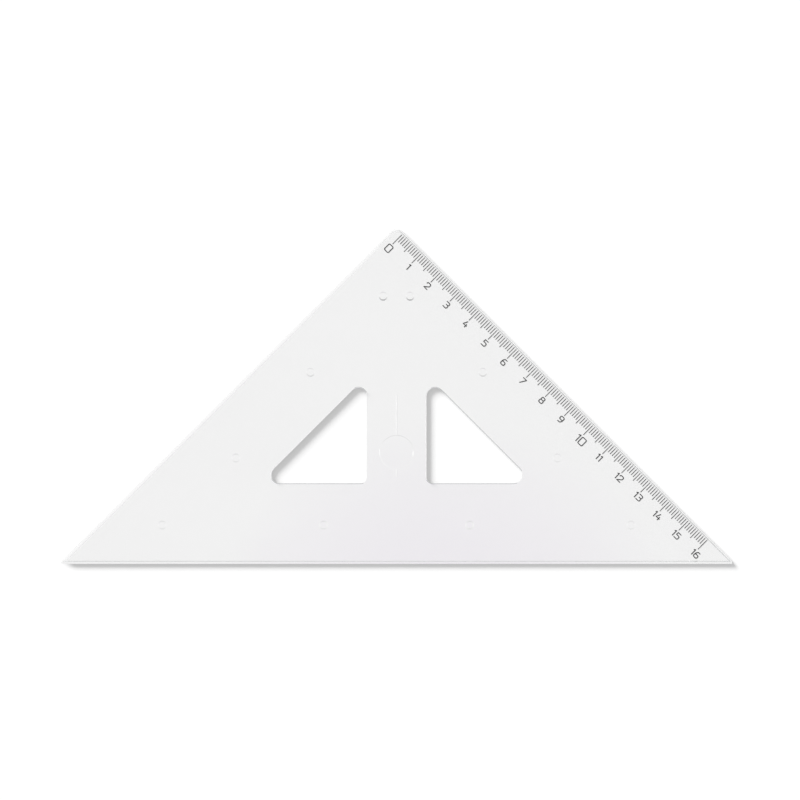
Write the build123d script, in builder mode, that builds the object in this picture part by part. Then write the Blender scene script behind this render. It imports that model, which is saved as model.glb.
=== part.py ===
"""Drafting triangle with two equal legs: one clear moulded plate, and the ink of the scale on its right leg.

The plate lies flat with its underside on XY. The long edge runs along X, and the right angle points to +Y.
The scale is printed on the underside, where it touches the paper, and is read through the plate.
The origin is the middle of the long edge, on the underside. Sizes are in millimetres.
"""

import os
from math import sqrt

from build123d import *

# Plate
leg_length = 177.0  # each leg, from the sharp right angle to the sharp tip, before the corners are blunted
thickness = 2.0
apex_flat = 3.0  # width of the flat that blunts the right angle
tip_cut = 1.0  # how far each 45 degree tip is cut back
long_edge_ledge = 0.85  # width of the low ledge along the long side, for an inking pen
scale_ledge = 0.45  # the same along the leg with the scale
step_run = 0.23  # how far the steep step from a ledge up to the top face leans
plain_leg_bevel = 1.35  # width of the bevel on the leg with no scale, measured on the top face
edge_depth = 0.5  # of the ledges and the bevel, measured down the side

# Windows, a mirrored pair
long_edge_border = 29.8  # from the long edge to the windows' lower sides
leg_border = 31.35  # from a leg to the window's slanted side
bridge_width = 22.0  # between the two windows
window_square_radius = 2.3  # at the right angle
window_sharp_radius = 3.2  # at the two 45 degree corners
window_bevel = 0.25

# Round marks that the ejector pins leave: low raised pads, a mirrored set
pin_mark_diameter = 3.4
pin_mark_height = 0.08
pin_mark_rim = 0.5  # width of the sloping rim, in plan
leg_mark_shares = ((0.124, 14.9), (0.344, 15.8), (0.581, 18.7))  # share of the leg from the apex, and inset
base_mark_shares = (0.216, 0.693)  # shares of half the long edge, out from the axis
base_mark_height = 14.4  # above the long edge

# Altitude line and the ring of the round mould insert, both raised ridges on the bridge
ridge_width = 0.4
ridge_height = 0.06
insert_diameter = 12.4
insert_lift = 11.5  # from the windows' lower sides up to the ring's centre
altitude_line_length = 30.0
altitude_line_lift = 2.5  # from the windows' lower sides up to the line's foot

# Scale
millimetre = 1.0
per_centimetre = 10  # millimetres in a centimetre
zero_inset = 3.65  # from the sharp apex to the zero tick
scale_end_margin = 13.0  # least that is left between the last tick and the sharp tip
tick_width = 0.25
tick_clearance = 0.22  # from the ledge's step to the ticks
millimetre_tick = 2.95
half_centimetre_tick = 3.9
centimetre_tick = 4.9
ink_thickness = 0.04
print_recess = 0.05  # depth of the field that the ink is set in, so that the plate lies flat
print_rim = 0.7  # what is left round the field along the plate's sides
print_margin = 0.5  # from the numerals to the field's inner side

# Numerals
numeral_height = 2.6
numeral_width = 1.95
one_width = 0.85  # the figure 1 with its flag
pen_width = 0.36
numeral_clearance = 0.5  # from the longest ticks to the numerals
numeral_gap = 0.45  # between the two figures of one number
round_corner = 0.42  # radius of a rounded corner, on the middle of the stroke
tall_numbers = (0, 10)
tall_scale = 1.23  # how much larger the tall numbers are
single_shift = 0.1  # how far the middle of a single figure lies past its tick
double_lead = 1.1  # how far before its tick a number of two figures starts

half_long_edge = leg_length / sqrt(2)
apex_height = half_long_edge
up = Vector(0, 0, 1)
right_tip = Vector(half_long_edge, 0)
left_tip = Vector(-half_long_edge, 0)
apex = Vector(0, apex_height)
tick_inset = scale_ledge + step_run + tick_clearance
numeral_inset = tick_inset + centimetre_tick + numeral_clearance
centimetre = per_centimetre * millimetre


def ledge_section(width):
    """What is cut away above a ledge. X points out of the plate from its side, and Y points up."""
    return (
        (width, thickness - edge_depth),
        (-width, thickness - edge_depth),
        (-width - 2 * step_run, thickness + edge_depth),
        (width, thickness + edge_depth),
    )


def bevel_section(width):
    """What is cut away above a bevel, in the same directions."""
    return (
        (-2 * width, thickness + edge_depth),
        (width, thickness - 2 * edge_depth),
        (width, thickness + edge_depth),
    )


def ridge_section(middle):
    """A low ridge on the top face, with its foot sunk into the plate. Y points up."""
    return (
        (middle - ridge_width, thickness - ridge_height),
        (middle, thickness + ridge_height),
        (middle + ridge_width, thickness - ridge_height),
    )


def print_field():
    """The printed field's corners. X runs down the right leg from the apex, and Y points out of the plate."""
    depth = numeral_inset + tall_scale * numeral_height + print_margin
    by_apex = apex_flat / sqrt(2) + sqrt(2) * print_rim  # x - y along the side beside the blunted right angle
    by_long_edge = leg_length - sqrt(2) * print_rim  # the same along the long edge
    return (
        (by_apex - print_rim, -print_rim),
        (by_long_edge - print_rim, -print_rim),
        (by_long_edge - depth, -depth),
        (print_rim, -depth),
        (print_rim, print_rim - by_apex),
    )


def window_outline():
    """The right window, in plan: a right triangle with rounded corners."""
    wall = bridge_width / 2
    reach = apex_height - leg_border * sqrt(2)  # x + y along the slanted side
    square_corner = (wall, long_edge_border)
    sharp_corners = ((reach - long_edge_border, long_edge_border), (wall, reach - wall))
    with BuildSketch() as outline:
        with BuildLine():
            Polyline(square_corner, *sharp_corners, close=True)
        make_face()
        fillet(outline.vertices().sort_by_distance(square_corner)[0], window_square_radius)
        for corner in sharp_corners:
            fillet(outline.vertices().sort_by_distance(corner)[0], window_sharp_radius)
    return outline.sketch


def pin_mark_centres():
    """The right half's ejector marks: three beside the leg, and two above the long edge."""
    beside_leg = []
    for share, inset in leg_mark_shares:
        along = share * leg_length
        beside_leg.append(((along - inset) / sqrt(2), apex_height - (along + inset) / sqrt(2)))
    above_base = [(share * half_long_edge, base_mark_height) for share in base_mark_shares]
    return beside_leg + above_base


with BuildPart() as plate:
    with BuildSketch():
        with BuildLine():
            Polyline(
                (0, 0),
                (half_long_edge - tip_cut, 0),
                (half_long_edge - tip_cut, tip_cut),
                (apex_flat / 2, apex_height - apex_flat / 2),
                (0, apex_height - apex_flat / 2),
                close=True,
            )
        make_face()
        add(window_outline(), mode=Mode.SUBTRACT)
        mirror(about=Plane.YZ)
    extrude(amount=thickness)

    # The windows' rims
    top_face = plate.faces().sort_by(Axis.Z)[-1]
    rims = [edge for wire in top_face.inner_wires() for edge in wire.edges()]
    chamfer(rims, window_bevel)

    # What is cut away along each long side: its section is drawn across the side's start and run to its end
    for start, end, section in (
        (right_tip, left_tip, ledge_section(long_edge_ledge)),
        (left_tip, apex, bevel_section(plain_leg_bevel)),
        (apex, right_tip, ledge_section(scale_ledge)),
    ):
        along = (end - start).normalized()
        with BuildSketch(Plane(start, x_dir=up.cross(along), z_dir=along)):
            with BuildLine():
                Polyline(*section, close=True)
            make_face()
        extrude(amount=(end - start).length, mode=Mode.SUBTRACT)

    # The ejector marks, on the top face
    centres = pin_mark_centres()
    mirrored = [(-x, y) for x, y in centres]
    pad_radius = pin_mark_diameter / 2
    with Locations([(x, y, thickness) for x, y in centres + mirrored]):
        Cone(pad_radius, pad_radius - pin_mark_rim, pin_mark_height, align=(Align.CENTER, Align.CENTER, Align.MIN))

    # The insert's ring, and the altitude line in two stretches that stop at the ring
    insert_centre = long_edge_border + insert_lift
    with BuildSketch(Plane.YZ):
        with BuildLine():
            Polyline(*ridge_section(insert_centre + insert_diameter / 2), close=True)
        make_face()
    revolve(axis=Axis((0, insert_centre, 0), (0, 0, 1)))
    line_foot = long_edge_border + altitude_line_lift
    line_head = line_foot + altitude_line_length
    for near_ring, far_end in (
        (insert_centre - insert_diameter / 2, line_foot),
        (insert_centre + insert_diameter / 2, line_head),
    ):
        towards_end = Vector(0, far_end - near_ring)
        with BuildSketch(Plane((0, near_ring, 0), x_dir=up.cross(towards_end), z_dir=towards_end)):
            with BuildLine():
                Polyline(*ridge_section(0), close=True)
            make_face()
        extrude(amount=towards_end.length)

    # The field for the print, recessed in the underside along the right leg
    with BuildSketch(Plane(apex, x_dir=right_tip - apex, z_dir=up)):
        with BuildLine():
            Polyline(*print_field(), close=True)
        make_face()
    extrude(amount=print_recess, mode=Mode.SUBTRACT)

# The ink's plane is the field's ceiling, and the ink hangs below it. X runs down the right leg from the apex,
# and Y points out of the plate.
scale_plane = Plane(apex + up * print_recess, x_dir=right_tip - apex, z_dir=up)
last_centimetre = int((leg_length - zero_inset - scale_end_margin) / centimetre)
last_graduation = per_centimetre * last_centimetre


def ticks(graduations, length):
    """The bars of one length, at these graduations, all starting on one line beside the ledge."""
    places = [(zero_inset + graduation * millimetre, -tick_inset - length / 2) for graduation in graduations]
    with BuildPart() as bars:
        with BuildSketch(scale_plane):
            with Locations(places):
                Rectangle(tick_width, length)
        extrude(amount=-ink_thickness)
    return bars


# The strokes of each figure, as corner points. The first two values are shares of the figure's width and
# height from its lower left, on the middle of the stroke. The third says whether the corner is rounded.
SHARP, ROUND = 0, 1
upper_bowl = (
    ((0.06, 0.77, SHARP), (0.06, 1, ROUND), (0.94, 1, ROUND), (0.94, 0.77, SHARP)),
    ((0.94, 0.77, SHARP), (0.94, 0.54, ROUND), (0.06, 0.54, ROUND), (0.06, 0.77, SHARP)),
)
lower_bowl = (
    ((0, 0.27, SHARP), (0, 0.54, ROUND), (1, 0.54, ROUND), (1, 0.27, SHARP)),
    ((1, 0.27, SHARP), (1, 0, ROUND), (0, 0, ROUND), (0, 0.27, SHARP)),
)
six = (
    ((0.9, 1, SHARP), (0.3, 1, ROUND), (0, 0.6, ROUND), (0, 0.27, SHARP)),
    *lower_bowl,
)
figure_strokes = {
    "0": (
        ((0, 0.5, SHARP), (0, 1, ROUND), (1, 1, ROUND), (1, 0.5, SHARP)),
        ((1, 0.5, SHARP), (1, 0, ROUND), (0, 0, ROUND), (0, 0.5, SHARP)),
    ),
    "1": (((0, 0.86, SHARP), (1, 1, SHARP), (1, 0, SHARP)),),
    "2": (((0, 0.78, SHARP), (0, 1, ROUND), (1, 1, ROUND), (1, 0.58, ROUND), (0, 0, SHARP), (1, 0, SHARP)),),
    "3": (
        ((0, 1, SHARP), (1, 1, ROUND), (1, 0.54, ROUND), (0.35, 0.54, SHARP)),
        ((0.35, 0.54, SHARP), (1, 0.54, ROUND), (1, 0, ROUND), (0, 0, SHARP)),
    ),
    "4": (
        ((0.5, 1, SHARP), (0, 0.3, SHARP), (1, 0.3, SHARP)),
        ((0.76, 0.54, SHARP), (0.76, 0, SHARP)),
    ),
    "5": (
        ((0.92, 1, SHARP), (0.1, 1, SHARP), (0.04, 0.58, SHARP)),
        ((0.04, 0.58, SHARP), (1, 0.58, ROUND), (1, 0, ROUND), (0, 0, SHARP)),
    ),
    "6": six,
    "7": (((0, 1, SHARP), (1, 1, SHARP), (0.15, 0, SHARP)),),
    "8": upper_bowl + lower_bowl,
    "9": tuple(tuple((1 - across, 1 - rise, corner) for across, rise, corner in stroke) for stroke in six),
}


def figure_paths(figure, width, height):
    """The middle lines of one figure's strokes, from its lower left corner, as wires."""
    paths = []
    for stroke in figure_strokes[figure]:
        points = [
            (pen_width / 2 + across * (width - pen_width), pen_width / 2 + rise * (height - pen_width))
            for across, rise, _ in stroke
        ]
        radii = [corner * round_corner for _, _, corner in stroke[1:-1]]
        with BuildLine() as path:
            if radii:
                FilletPolyline(points, radius=radii)
            else:
                Line(points)
        paths.append(path.wire())
    return paths


def numeral(number):
    """The ink of one number, hung below its tick."""
    size = tall_scale if number in tall_numbers else 1
    figures = str(number)
    widths = [size * (one_width if figure == "1" else numeral_width) for figure in figures]
    gap = size * numeral_gap
    height = size * numeral_height
    lead = widths[0] / 2 - single_shift if len(figures) == 1 else size * double_lead
    left = zero_inset + number * centimetre - lead
    paths = [figure_paths(figure, width, height) for figure, width in zip(figures, widths)]
    with BuildPart() as ink:
        with BuildSketch(scale_plane):
            for strokes, width in zip(paths, widths):
                with Locations((left, -numeral_inset - height)):
                    for stroke in strokes:
                        SlotArc(stroke, pen_width)
                left += width + gap
        extrude(amount=-ink_thickness)
    return ink


halves = range(per_centimetre // 2, last_graduation, per_centimetre)
wholes = range(0, last_graduation + 1, per_centimetre)
others = [graduation for graduation in range(last_graduation) if graduation not in (*halves, *wholes)]
pieces = {
    "plate": plate,
    "millimetre_ticks": ticks(others, millimetre_tick),
    "half_centimetre_ticks": ticks(halves, half_centimetre_tick),
    "centimetre_ticks": ticks(wholes, centimetre_tick),
}
for number in range(last_centimetre + 1):
    pieces[f"numeral_{number}"] = numeral(number)

os.makedirs("parts", exist_ok=True)
for name, piece in pieces.items():
    piece.part.label = name
    export_step(piece.part, f"parts/{name}.step")
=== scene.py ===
"""Looks for the clear drafting triangle: moulded plastic, a printed scale, a white table and soft light.

The plate and the scale's ink come from the frame as they are, and get their finish here.
Lengths are in metres.
"""

from math import cos, pi, radians, sin, sqrt

import bpy
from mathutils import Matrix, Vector


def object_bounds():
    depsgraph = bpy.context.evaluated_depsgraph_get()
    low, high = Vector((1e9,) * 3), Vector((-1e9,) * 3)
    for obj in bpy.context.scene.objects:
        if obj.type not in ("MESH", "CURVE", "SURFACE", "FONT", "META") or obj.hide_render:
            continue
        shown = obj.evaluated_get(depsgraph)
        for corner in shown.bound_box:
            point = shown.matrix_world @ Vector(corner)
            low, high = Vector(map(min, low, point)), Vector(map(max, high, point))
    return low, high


MM = 0.001

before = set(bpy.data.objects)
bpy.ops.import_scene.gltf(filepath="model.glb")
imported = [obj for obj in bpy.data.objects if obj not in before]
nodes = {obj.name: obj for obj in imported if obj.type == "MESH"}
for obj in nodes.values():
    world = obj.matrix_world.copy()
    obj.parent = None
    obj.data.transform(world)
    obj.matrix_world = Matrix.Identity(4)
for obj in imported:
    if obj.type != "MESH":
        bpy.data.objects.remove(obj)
cad_low, cad_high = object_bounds()

# What the camera sees: a square field, straight down, with the plate a little low in it
FIELD_WIDTH = 296.0 * MM
FIELD_CENTRE = (1.25 * MM, 60.67 * MM)
LENS = 100.0  # millimetres
SENSOR = 36.0

# The table, and the thin air gap that is left under a plate lying on it
TABLE_SIZE = 6.0
TABLE_GAP = 0.05 * MM
TABLE_COLOUR = 0.56
TABLE_GLOW = 0.46  # shown where the table is looked at, so that it is pure white there

# The light: a soft source at the upper left, a wider one above it, and a dim room. Angles are in degrees. A
# lamp's level is what it adds to a white surface that lies flat
LAMPS = (
    {"name": "key", "azimuth": 138.0, "zenith": 62.0, "width": 28.0, "level": 0.84},
    {"name": "overhead", "azimuth": 138.0, "zenith": 25.0, "width": 90.0, "level": 0.16},
)
ROOM_LEVEL = 0.06

# The room as a polished face mirrors it: lighter on the key lamp's side, darker on the other, with a bright
# pane on the left and a dim lilac shape overhead, where a camera and its stand would be. The pane and the
# shape are invented, to match the tones that the plate has in the photograph
MIRROR_SLOPE = 0.6  # how fast the level changes with the direction
MIRROR_DARKEST = 0.6
PANE_TOWARDS = (-0.54, 0.0, 0.84)
PANE_EDGE = 0.0075  # how far from that direction the pane fades out, as 1 less the cosine
PANE_LEVEL = 3.0
STAND_TOWARDS = (0.02, -0.12, 1.0)
STAND_COLOUR = (0.50, 0.25, 0.65, 1)
STAND_EDGE = 0.0062  # how far from that direction the shape ends, as 1 less the cosine

# What the plate's faces let through on the light's way to the table
FACE_PASSES = 0.908
UPRIGHT_TO = 0.2  # how level a face may be to count as upright
TIP_OUT = 123.4 * MM  # the shadow begins this far out from the middle, in the tip beside the lamp
TIP_FADES = 3.0 * MM  # how far in from there it has its full strength

# The plastic's faces, with the faint streaks of the melt, fine hairlines and a shallow swell
REFRACTION = 1.59  # polystyrene
CLEAR = (0.925, 0.925, 0.925)
CLEAR_VARIES = 0.005
STREAK_TURN = 20.0  # degrees
STREAK_STRETCH = (14, 45, 1)
STREAK_DETAIL = 3.0
STREAK_RANGE = (0.3, 0.7)
HAIRLINE_TURNS = (25, -50)  # degrees
HAIRLINE_STRETCH = (12, 1500, 1)
HAIRLINE_RANGE = (0.68, 0.78)
POLISH = (0.01, 0.07)  # roughness, from the clean face to a fine scratch
SWELL_SCALE = 45.0
WAVE_HEIGHT = 0.02 * MM

# The plastic's edges. How level a face is tells them apart: 0 for upright, 1 for flat
# Painted shade: the grey of steps and rims that face along the direction further below, or away from it
EDGE_PAINTED_SHADE = (0.34, 0.35, 0.36, 1)
EDGE_LEVEL = (0.2, 0.75)  # how level the ledges' steps and the windows' rims are
WALL = (0.86, 0.88, 0.88, 1)
WALL_SCATTERS = 0.7  # how much of the light an upright wall scatters, and the rest goes through
BEVEL_SCATTERS = 0.2
WALL_GLOWS = 0.22  # how much of an upright wall's look is light that comes from inside the plate
# The direction that steps and rims are painted grey for, as shade, when they face it or away from it
PAINTED_SHADE_FACING = (cos(radians(70)), sin(radians(70)), 0)  # steps and rims that face this way or away are grey
DARK_FROM = 0.5

# The plastic's relief: the bevel, the ejector marks' rims and the ridges. The tones that the marks' rims and
# the ridges get below are painted highlight and painted shade
BEVEL_LEVEL = (0.92, 0.95)
MARK_LEVEL = (0.97, 0.9999)
RIDGE_LEVEL = (0.95, 0.97)
# Painted shade on the ridges' far sides
RIDGE_PAINTED_SHADE = 0.28
LINE_REACH = 1.0 * MM  # what lies this near the middle belongs to the altitude line
RING_CENTRE = (0, 41.3 * MM, 0)
# Painted shade on the marks' rims: it starts below the long edge and grows towards the right angle
MARK_FOOT = 10.0 * MM  # how far below the long edge the rims' darkness would start
MARK_REACH = 107.0 * MM
MARK_PAINTED_SHADE = 0.75
MARK_LEAST_PAINTED_SHADE = 0.18
# Painted light on the plain leg's bevel: its colour grades from the inside one to the lighter outside one
PLAIN_LEG_OUT = 88.5 * MM  # from the origin, square out to the leg with no scale
BEVEL_WIDTH = 1.35 * MM
BEVEL_PAINTED_INSIDE = (0.74, 0.74, 0.74, 1)
BEVEL_PAINTED_OUTSIDE = (0.915, 0.915, 0.915, 1)

# The ink, thinner in patches
INK_PATCHES = 900.0
INK_DETAIL = 3.0
INK_TONES = ((0.35, (0.012, 0.012, 0.013, 1)), (0.75, (0.05, 0.05, 0.053, 1)))
INK_ROUGHNESS = 0.45


def new_tree(owner):
    """Empties a material's or world's node tree. Returns its nodes and a function that links two sockets."""
    owner.use_nodes = True
    tree = owner.node_tree
    tree.nodes.clear()
    return tree.nodes, tree.links.new


def maths(nodes, link, operation, *values):
    """A Math node, its inputs linked or set. Returns its output."""
    node = nodes.new("ShaderNodeMath")
    node.operation = operation
    for socket, value in zip(node.inputs, values):
        if isinstance(value, (int, float)):
            socket.default_value = value
        else:
            link(value, socket)
    return node.outputs[0]


def remap(nodes, link, value, source, target):
    """A value that goes from one range to another, and stays within it."""
    node = nodes.new("ShaderNodeMapRange")
    link(value, node.inputs["Value"])
    for socket, number in zip(("From Min", "From Max", "To Min", "To Max"), (*source, *target)):
        node.inputs[socket].default_value = number
    return node.outputs["Result"]


def light_through_plate(nodes, link):
    """What a face of the plate does to light on its way to the table, with no bending.

    An upright wall's outer side is dark to it, as if all of it were mirrored back inside, and so throws the
    narrow shadow that a clear plate has. In the tip beside the lamp the photographed shadow fades. The cause
    isn't known, and the wall is simply made to let light through there.
    """
    geometry = nodes.new("ShaderNodeNewGeometry")
    split = nodes.new("ShaderNodeSeparateXYZ")
    link(geometry.outputs["True Normal"], split.inputs[0])
    upright = maths(nodes, link, "LESS_THAN", maths(nodes, link, "ABSOLUTE", split.outputs["Z"]), UPRIGHT_TO)
    outer = maths(nodes, link, "SUBTRACT", 1.0, geometry.outputs["Backfacing"])
    place = nodes.new("ShaderNodeSeparateXYZ")
    link(geometry.outputs["Position"], place.inputs[0])
    full = maths(nodes, link, "MULTIPLY_ADD", place.outputs["X"], 1 / TIP_FADES, TIP_OUT / TIP_FADES)
    full = maths(nodes, link, "MINIMUM", maths(nodes, link, "MAXIMUM", full, 0.0), 1.0)
    dark = maths(nodes, link, "MULTIPLY", maths(nodes, link, "MULTIPLY", upright, outer), full)
    passes = maths(nodes, link, "MULTIPLY", FACE_PASSES, maths(nodes, link, "SUBTRACT", 1.0, dark))
    clear = nodes.new("ShaderNodeBsdfTransparent")
    link(passes, clear.inputs["Color"])
    return clear.outputs[0]


def tint(nodes, link, factor, first, second):
    """A Mix of two colours, each linked or set. Returns its output."""
    mix = nodes.new("ShaderNodeMix")
    mix.data_type = "RGBA"
    link(factor, mix.inputs["Factor"])
    for socket, value in ((mix.inputs[6], first), (mix.inputs[7], second)):
        if isinstance(value, tuple):
            socket.default_value = value
        else:
            link(value, socket)
    return mix.outputs[2]


def moulded_tone(nodes, link, place):
    """The clear plastic's colour, with the faint streaks that the melt leaves as it flows."""
    stretch = nodes.new("ShaderNodeMapping")
    stretch.inputs["Rotation"].default_value = (0, 0, radians(STREAK_TURN))
    stretch.inputs["Scale"].default_value = STREAK_STRETCH
    link(place.outputs["Object"], stretch.inputs["Vector"])
    streaks = nodes.new("ShaderNodeTexNoise")
    streaks.inputs["Scale"].default_value = 1.0
    streaks.inputs["Detail"].default_value = STREAK_DETAIL
    link(stretch.outputs["Vector"], streaks.inputs["Vector"])
    tone = nodes.new("ShaderNodeValToRGB")
    changes = (-CLEAR_VARIES, CLEAR_VARIES)
    for element, position, change in zip(tone.color_ramp.elements, STREAK_RANGE, changes):
        element.position = position
        element.color = (*(channel + change for channel in CLEAR), 1)
    link(streaks.outputs["Fac"], tone.inputs["Fac"])
    return tone.outputs["Color"]


def between(nodes, link, value, low, high):
    """1 where a value lies between these two, and 0 elsewhere."""
    above = maths(nodes, link, "GREATER_THAN", value, low)
    return maths(nodes, link, "MULTIPLY", above, maths(nodes, link, "LESS_THAN", value, high))


def one_way(nodes, link, value, sign):
    """The part of a value that has this sign, counted up from zero."""
    return maths(nodes, link, "MAXIMUM", maths(nodes, link, "MULTIPLY", value, sign), 0.0)


def relief_painted_light_and_shade(nodes, link, place, level, direction):
    """How much painted highlight and painted shade the plastic gets where the ejector marks and ridges lean.

    The marks' rims are painted lighter at their sides and darker at the top and bottom, most so near the
    right angle. The outer sides of the ridges are painted lighter on the left. The ring's is painted darker
    at the top and the altitude line's on the right. These tones are matched to a photograph and don't follow
    the lamps.
    """
    where = nodes.new("ShaderNodeSeparateXYZ")
    link(place.outputs["Object"], where.inputs[0])
    lean = nodes.new("ShaderNodeSeparateXYZ")
    link(direction, lean.inputs[0])
    mark = between(nodes, link, level, *MARK_LEVEL)
    from_ring = nodes.new("ShaderNodeVectorMath")
    from_ring.operation = "SUBTRACT"
    from_ring.inputs[1].default_value = RING_CENTRE
    link(place.outputs["Object"], from_ring.inputs[0])
    outwards = nodes.new("ShaderNodeVectorMath")
    outwards.operation = "DOT_PRODUCT"
    link(from_ring.outputs["Vector"], outwards.inputs[0])
    link(direction, outwards.inputs[1])
    outer = maths(nodes, link, "GREATER_THAN", outwards.outputs["Value"], 0.0)
    ridge = maths(nodes, link, "MULTIPLY", between(nodes, link, level, *RIDGE_LEVEL), outer)
    sideways = maths(nodes, link, "ABSOLUTE", lean.outputs["X"])
    left = one_way(nodes, link, lean.outputs["X"], -1)
    right = one_way(nodes, link, lean.outputs["X"], 1)
    up = one_way(nodes, link, lean.outputs["Y"], 1)
    down = one_way(nodes, link, lean.outputs["Y"], -1)
    # Painted highlight: the marks' rims lighter at their sides, and the ridges' outer sides on the left
    light = maths(nodes, link, "MULTIPLY", mark, sideways)
    light = maths(nodes, link, "MULTIPLY_ADD", ridge, left, light)
    rise = maths(nodes, link, "ADD", where.outputs["Y"], MARK_FOOT)
    rise = maths(nodes, link, "MULTIPLY", rise, 1 / MARK_REACH)
    strength = maths(nodes, link, "MULTIPLY", maths(nodes, link, "MULTIPLY", rise, rise), MARK_PAINTED_SHADE)
    strength = maths(nodes, link, "MAXIMUM", strength, MARK_LEAST_PAINTED_SHADE)
    # Painted shade: the marks' rims darker at the bottom, more so near the right angle, and a little at the
    # top
    mark_painted_shade = maths(nodes, link, "MULTIPLY", down, strength)
    mark_painted_shade = maths(nodes, link, "MULTIPLY_ADD", up, MARK_LEAST_PAINTED_SHADE, mark_painted_shade)
    # Painted shade: the ridges' outer sides darker at the top, and the altitude line's on the right
    from_axis = maths(nodes, link, "ABSOLUTE", where.outputs["X"])
    on_line = maths(nodes, link, "LESS_THAN", from_axis, LINE_REACH)
    far_side = maths(nodes, link, "ADD", maths(nodes, link, "MULTIPLY", right, on_line), up)
    ridge_painted_shade = maths(nodes, link, "MULTIPLY", far_side, RIDGE_PAINTED_SHADE)
    dark = maths(nodes, link, "MULTIPLY", mark, mark_painted_shade)
    return light, maths(nodes, link, "MULTIPLY_ADD", ridge, ridge_painted_shade, dark)


def bevel_painted_light(nodes, link, place):
    """The bevel's colour, painted lighter towards the outside to stand in for the light on a rounded edge.

    The real one is a bit rounded, and this one flat.
    """
    outwards = nodes.new("ShaderNodeVectorMath")
    outwards.operation = "DOT_PRODUCT"
    outwards.inputs[1].default_value = (-sqrt(0.5), sqrt(0.5), 0)
    link(place.outputs["Object"], outwards.inputs[0])
    bevel = (PLAIN_LEG_OUT - BEVEL_WIDTH, PLAIN_LEG_OUT)
    across = remap(nodes, link, outwards.outputs["Value"], bevel, (0, 1))
    return tint(nodes, link, across, BEVEL_PAINTED_INSIDE, BEVEL_PAINTED_OUTSIDE)


def plastic_colour(nodes, link):
    """The plastic's colour, 1 where a wall is upright, and 1 on the bevel.

    Its faces are clear, and its walls catch the light. The steps and rims that face along one direction, or
    away from it, are painted grey as shade. The bevel has painted light, and the marks and the ridges have
    painted highlight and painted shade. All of these go by the way a face leans or by its place, to match a
    photograph.
    """
    place = nodes.new("ShaderNodeTexCoord")
    normal = nodes.new("ShaderNodeSeparateXYZ")
    link(place.outputs["Normal"], normal.inputs[0])
    level = normal.outputs["Z"]
    flat = nodes.new("ShaderNodeCombineXYZ")
    link(normal.outputs["X"], flat.inputs["X"])
    link(normal.outputs["Y"], flat.inputs["Y"])
    direction = nodes.new("ShaderNodeVectorMath")
    direction.operation = "NORMALIZE"
    link(flat.outputs[0], direction.inputs[0])
    light, dark = relief_painted_light_and_shade(nodes, link, place, level, direction.outputs["Vector"])
    # Painted highlight mixes the colour towards white, and painted shade towards black, where marks and
    # ridges lean
    colour = tint(nodes, link, light, moulded_tone(nodes, link, place), (1, 1, 1, 1))
    colour = tint(nodes, link, dark, colour, (0, 0, 0, 1))
    # Painted light: the bevel's colour grades lighter towards the outside
    bevel = between(nodes, link, level, *BEVEL_LEVEL)
    colour = tint(nodes, link, bevel, colour, bevel_painted_light(nodes, link, place))
    # Painted shade: steep steps and rims that face one direction or its opposite are mixed towards grey
    steep = between(nodes, link, level, *EDGE_LEVEL)
    to_end = nodes.new("ShaderNodeVectorMath")
    to_end.operation = "DOT_PRODUCT"
    to_end.inputs[1].default_value = PAINTED_SHADE_FACING
    link(place.outputs["Normal"], to_end.inputs[0])
    facing_end = maths(nodes, link, "ABSOLUTE", to_end.outputs["Value"])
    unlit = maths(nodes, link, "GREATER_THAN", facing_end, DARK_FROM)
    colour = tint(nodes, link, maths(nodes, link, "MULTIPLY", steep, unlit), colour, EDGE_PAINTED_SHADE)
    upright = maths(nodes, link, "LESS_THAN", maths(nodes, link, "ABSOLUTE", level), EDGE_LEVEL[0])
    return tint(nodes, link, upright, colour, WALL), upright, bevel


def polish(nodes, link):
    """The roughness of a polished face that has been wiped and slid about: hairlines in two directions."""
    place = nodes.new("ShaderNodeTexCoord")
    lines = 0.0
    for turn in HAIRLINE_TURNS:
        stretch = nodes.new("ShaderNodeMapping")
        stretch.inputs["Rotation"].default_value = (0, 0, radians(turn))
        stretch.inputs["Scale"].default_value = HAIRLINE_STRETCH
        link(place.outputs["Object"], stretch.inputs["Vector"])
        streaks = nodes.new("ShaderNodeTexNoise")
        streaks.inputs["Scale"].default_value = 1.0
        streaks.inputs["Detail"].default_value = 1.0
        link(stretch.outputs["Vector"], streaks.inputs["Vector"])
        lines = maths(nodes, link, "MAXIMUM", streaks.outputs["Fac"], lines)
    return remap(nodes, link, lines, HAIRLINE_RANGE, POLISH)


def waves(nodes, link):
    """The shallow unevenness of a moulded face, as a changed normal."""
    place = nodes.new("ShaderNodeTexCoord")
    swell = nodes.new("ShaderNodeTexNoise")
    swell.inputs["Scale"].default_value = SWELL_SCALE
    swell.inputs["Detail"].default_value = 1.0
    link(place.outputs["Object"], swell.inputs["Vector"])
    bump = nodes.new("ShaderNodeBump")
    bump.inputs["Distance"].default_value = WAVE_HEIGHT
    link(swell.outputs["Fac"], bump.inputs["Height"])
    return bump.outputs["Normal"]


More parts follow.
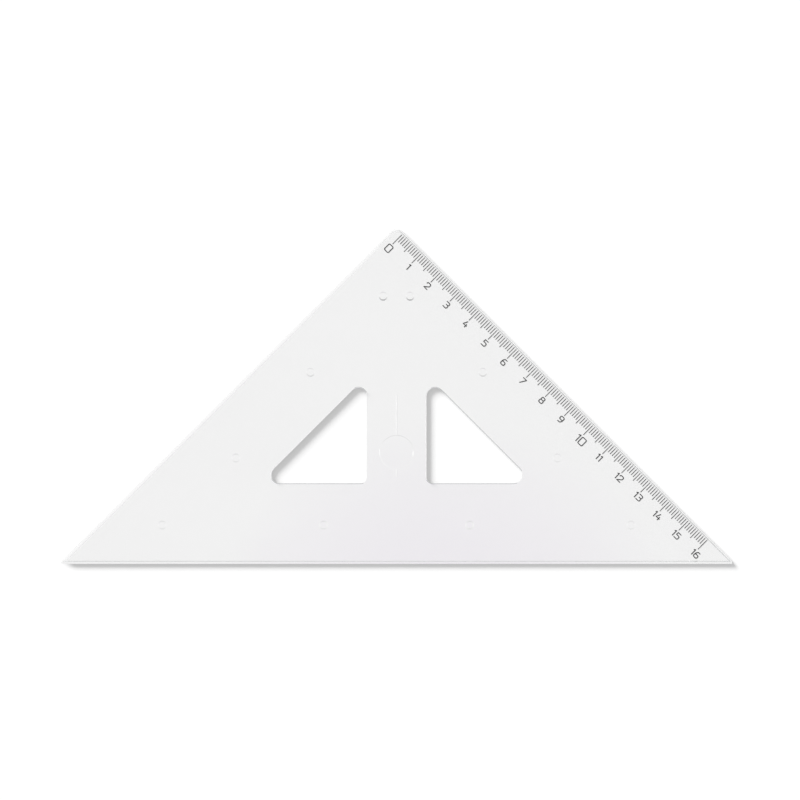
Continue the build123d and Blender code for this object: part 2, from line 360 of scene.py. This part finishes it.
def clear_plastic():
    """Clear polystyrene: nearly colourless and polished. Its walls and bevel scatter a part of the light."""
    material = bpy.data.materials.new("clear_plastic")
    nodes, link = new_tree(material)
    shader = nodes.new("ShaderNodeBsdfPrincipled")
    colour, upright, bevel = plastic_colour(nodes, link)
    link(colour, shader.inputs["Base Color"])
    passes = maths(nodes, link, "MULTIPLY_ADD", upright, -WALL_SCATTERS, 1.0)
    passes = maths(nodes, link, "MULTIPLY_ADD", bevel, -BEVEL_SCATTERS, passes)
    link(passes, shader.inputs["Transmission Weight"])
    shader.inputs["IOR"].default_value = REFRACTION
    link(polish(nodes, link), shader.inputs["Roughness"])
    link(waves(nodes, link), shader.inputs["Normal"])
    from_inside = nodes.new("ShaderNodeBsdfTranslucent")
    from_inside.inputs["Color"].default_value = WALL
    glowing = nodes.new("ShaderNodeMixShader")
    link(maths(nodes, link, "MULTIPLY", upright, WALL_GLOWS), glowing.inputs["Fac"])
    link(shader.outputs["BSDF"], glowing.inputs[1])
    link(from_inside.outputs[0], glowing.inputs[2])
    result = glowing.outputs[0]
    lit_through = light_through_plate(nodes, link)
    path = nodes.new("ShaderNodeLightPath")
    for kind in ("Is Shadow Ray", "Is Diffuse Ray"):
        mix = nodes.new("ShaderNodeMixShader")
        link(path.outputs[kind], mix.inputs["Fac"])
        link(result, mix.inputs[1])
        link(lit_through, mix.inputs[2])
        result = mix.outputs[0]
    output = nodes.new("ShaderNodeOutputMaterial")
    link(result, output.inputs["Surface"])
    return material


def black_ink():
    """Thin printed ink: black, with uneven coverage and a satin film."""
    material = bpy.data.materials.new("black_ink")
    nodes, link = new_tree(material)
    place = nodes.new("ShaderNodeTexCoord")
    patches = nodes.new("ShaderNodeTexNoise")
    patches.inputs["Scale"].default_value = INK_PATCHES
    patches.inputs["Detail"].default_value = INK_DETAIL
    link(place.outputs["Object"], patches.inputs["Vector"])
    tone = nodes.new("ShaderNodeValToRGB")
    for element, (position, colour) in zip(tone.color_ramp.elements, INK_TONES):
        element.position = position
        element.color = colour
    link(patches.outputs["Fac"], tone.inputs["Fac"])
    shader = nodes.new("ShaderNodeBsdfPrincipled")
    link(tone.outputs["Color"], shader.inputs["Base Color"])
    shader.inputs["Roughness"].default_value = INK_ROUGHNESS
    output = nodes.new("ShaderNodeOutputMaterial")
    link(shader.outputs["BSDF"], output.inputs["Surface"])
    return material


def looked_at(nodes, link):
    """1 for what is seen directly, mirrored or through the plate, and 0 for light between surfaces."""
    path = nodes.new("ShaderNodeLightPath")
    seen = maths(nodes, link, "MAXIMUM", path.outputs["Is Camera Ray"], path.outputs["Is Glossy Ray"])
    seen = maths(nodes, link, "MAXIMUM", seen, path.outputs["Is Transmission Ray"])
    first = maths(nodes, link, "LESS_THAN", path.outputs["Diffuse Depth"], 0.5)
    return maths(nodes, link, "MULTIPLY", seen, first)


def table_white():
    """A matte white table top. Where it is looked at, also through the plate, it is lifted to white."""
    material = bpy.data.materials.new("table_white")
    nodes, link = new_tree(material)
    matte = nodes.new("ShaderNodeBsdfDiffuse")
    matte.inputs["Color"].default_value = (TABLE_COLOUR, TABLE_COLOUR, TABLE_COLOUR, 1)
    glow = nodes.new("ShaderNodeEmission")
    link(maths(nodes, link, "MULTIPLY", looked_at(nodes, link), TABLE_GLOW), glow.inputs["Strength"])
    both = nodes.new("ShaderNodeAddShader")
    link(matte.outputs[0], both.inputs[0])
    link(glow.outputs[0], both.inputs[1])
    output = nodes.new("ShaderNodeOutputMaterial")
    link(both.outputs[0], output.inputs["Surface"])
    return material


def lay_table():
    """The table is one large square just under the plate."""
    half = TABLE_SIZE / 2
    mesh = bpy.data.meshes.new("table")
    corners = [(x, y, -TABLE_GAP) for x, y in ((-half, -half), (half, -half), (half, half), (-half, half))]
    mesh.from_pydata(corners, [], [(0, 1, 2, 3)])
    table = bpy.data.objects.new("table", mesh)
    mesh.materials.append(table_white())
    bpy.context.scene.collection.objects.link(table)


def hang_lamp(name, azimuth, zenith, width, level):
    """A soft source far away, which fills this angle. It lights the plate but isn't mirrored in it."""
    azimuth, zenith = radians(azimuth), radians(zenith)
    towards_lamp = Vector((cos(azimuth) * sin(zenith), sin(azimuth) * sin(zenith), cos(zenith)))
    data = bpy.data.lights.new(name, "SUN")
    data.angle = radians(width)
    data.energy = pi * level / cos(zenith)
    lamp = bpy.data.objects.new(name, data)
    lamp.rotation_mode = "QUATERNION"
    lamp.rotation_quaternion = towards_lamp.to_track_quat("Z", "Y")
    lamp.visible_glossy = False
    lamp.visible_transmission = False
    bpy.context.scene.collection.objects.link(lamp)


def towards(nodes, link, place, direction):
    """The cosine of the angle between a ray and this direction."""
    cosine = nodes.new("ShaderNodeVectorMath")
    cosine.operation = "DOT_PRODUCT"
    cosine.inputs[1].default_value = Vector(direction).normalized()
    link(place.outputs["Generated"], cosine.inputs[0])
    return cosine.outputs["Value"]


def mirrored_level(nodes, link, place):
    """The level of the room in a direction, for what mirrors it: a slope from side to side, and a pane."""
    lamp_side = radians(LAMPS[0]["azimuth"])
    sideways = towards(nodes, link, place, (cos(lamp_side), sin(lamp_side), 0))
    upwards = towards(nodes, link, place, (0, 0, 1))
    lean = maths(nodes, link, "MULTIPLY", sideways, upwards)
    curve = maths(nodes, link, "MULTIPLY", lean, maths(nodes, link, "ABSOLUTE", lean))
    level = maths(nodes, link, "MULTIPLY_ADD", curve, MIRROR_SLOPE, 1.0)
    level = maths(nodes, link, "MAXIMUM", level, MIRROR_DARKEST)
    away = maths(nodes, link, "SUBTRACT", 1.0, towards(nodes, link, place, PANE_TOWARDS))
    in_pane = maths(nodes, link, "MULTIPLY_ADD", away, -1 / PANE_EDGE, 1.0)
    in_pane = maths(nodes, link, "MAXIMUM", in_pane, 0.0)
    return maths(nodes, link, "MULTIPLY_ADD", in_pane, PANE_LEVEL, level)


def mirrored_colour(nodes, link, place):
    """White, and the dark shape of the camera and its stand."""
    away = maths(nodes, link, "SUBTRACT", 1.0, towards(nodes, link, place, STAND_TOWARDS))
    clear_of_it = maths(nodes, link, "MINIMUM", maths(nodes, link, "DIVIDE", away, STAND_EDGE), 1.0)
    return tint(nodes, link, clear_of_it, STAND_COLOUR, (1, 1, 1, 1))


def light_room():
    """The lamps, and a dim room. It is white where looked at, and lighter on one side where mirrored."""
    for lamp in LAMPS:
        hang_lamp(**lamp)
    world = bpy.data.worlds.new("room")
    bpy.context.scene.world = world
    nodes, link = new_tree(world)
    dim = nodes.new("ShaderNodeBackground")
    dim.inputs["Strength"].default_value = ROOM_LEVEL
    white = nodes.new("ShaderNodeBackground")
    place = nodes.new("ShaderNodeTexCoord")
    path = nodes.new("ShaderNodeLightPath")
    level = nodes.new("ShaderNodeMix")
    link(path.outputs["Is Glossy Ray"], level.inputs["Factor"])
    level.inputs[2].default_value = 1.0
    link(mirrored_level(nodes, link, place), level.inputs[3])
    link(level.outputs[0], white.inputs["Strength"])
    mirrored = mirrored_colour(nodes, link, place)
    colour = tint(nodes, link, path.outputs["Is Glossy Ray"], (1, 1, 1, 1), mirrored)
    link(colour, white.inputs["Color"])
    choose = nodes.new("ShaderNodeMixShader")
    link(looked_at(nodes, link), choose.inputs["Fac"])
    link(dim.outputs[0], choose.inputs[1])
    link(white.outputs[0], choose.inputs[2])
    output = nodes.new("ShaderNodeOutputWorld")
    link(choose.outputs[0], output.inputs["Surface"])


def place_camera():
    """Straight above, with the right angle to the top of the picture."""
    data = bpy.data.cameras.new("camera")
    data.lens = LENS
    data.sensor_width = SENSOR
    camera = bpy.data.objects.new("camera", data)
    bpy.context.scene.collection.objects.link(camera)
    camera.location = (*FIELD_CENTRE, cad_high.z + FIELD_WIDTH * LENS / SENSOR)
    bpy.context.scene.camera = camera


plastic, ink = clear_plastic(), black_ink()
for name, node in nodes.items():
    node.data.materials.clear()
    node.data.materials.append(plastic if name == "plate" else ink)

lay_table()
light_room()
place_camera()
bpy.context.scene.view_settings.view_transform = "Standard"
